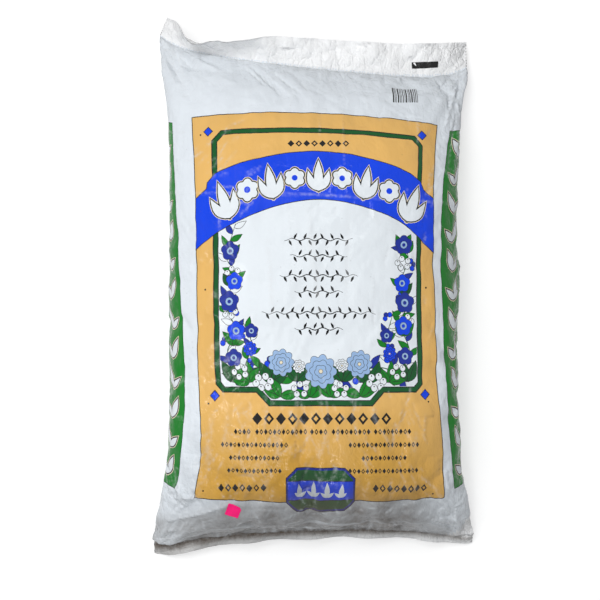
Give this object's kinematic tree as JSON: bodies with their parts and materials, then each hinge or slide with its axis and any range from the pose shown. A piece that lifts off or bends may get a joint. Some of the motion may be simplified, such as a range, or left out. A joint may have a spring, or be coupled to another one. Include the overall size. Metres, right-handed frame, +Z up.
{
  "type": "bag of peat moss",
  "caption": "Filled pillow bag of printed plastic film, heat-sealed straight across at both ends, lying flat on its back.",
  "frame": {"origin": "on the floor, below the middle of the bag's box", "axes": "+X across the bag, to the right as its front reads; +Y along it, from foot to head; +Z up, out of its front"},
  "size_m": [0.428, 0.7378, 0.1382],
  "materials": {
    "film": "glossy printed polythene film",
    "label_paper": "fluorescent pink paper, matt"
  },
  "bodies": {
    "root": {"filled_bag": "film", "price_label": "label_paper"}
  },
  "joints": []
}
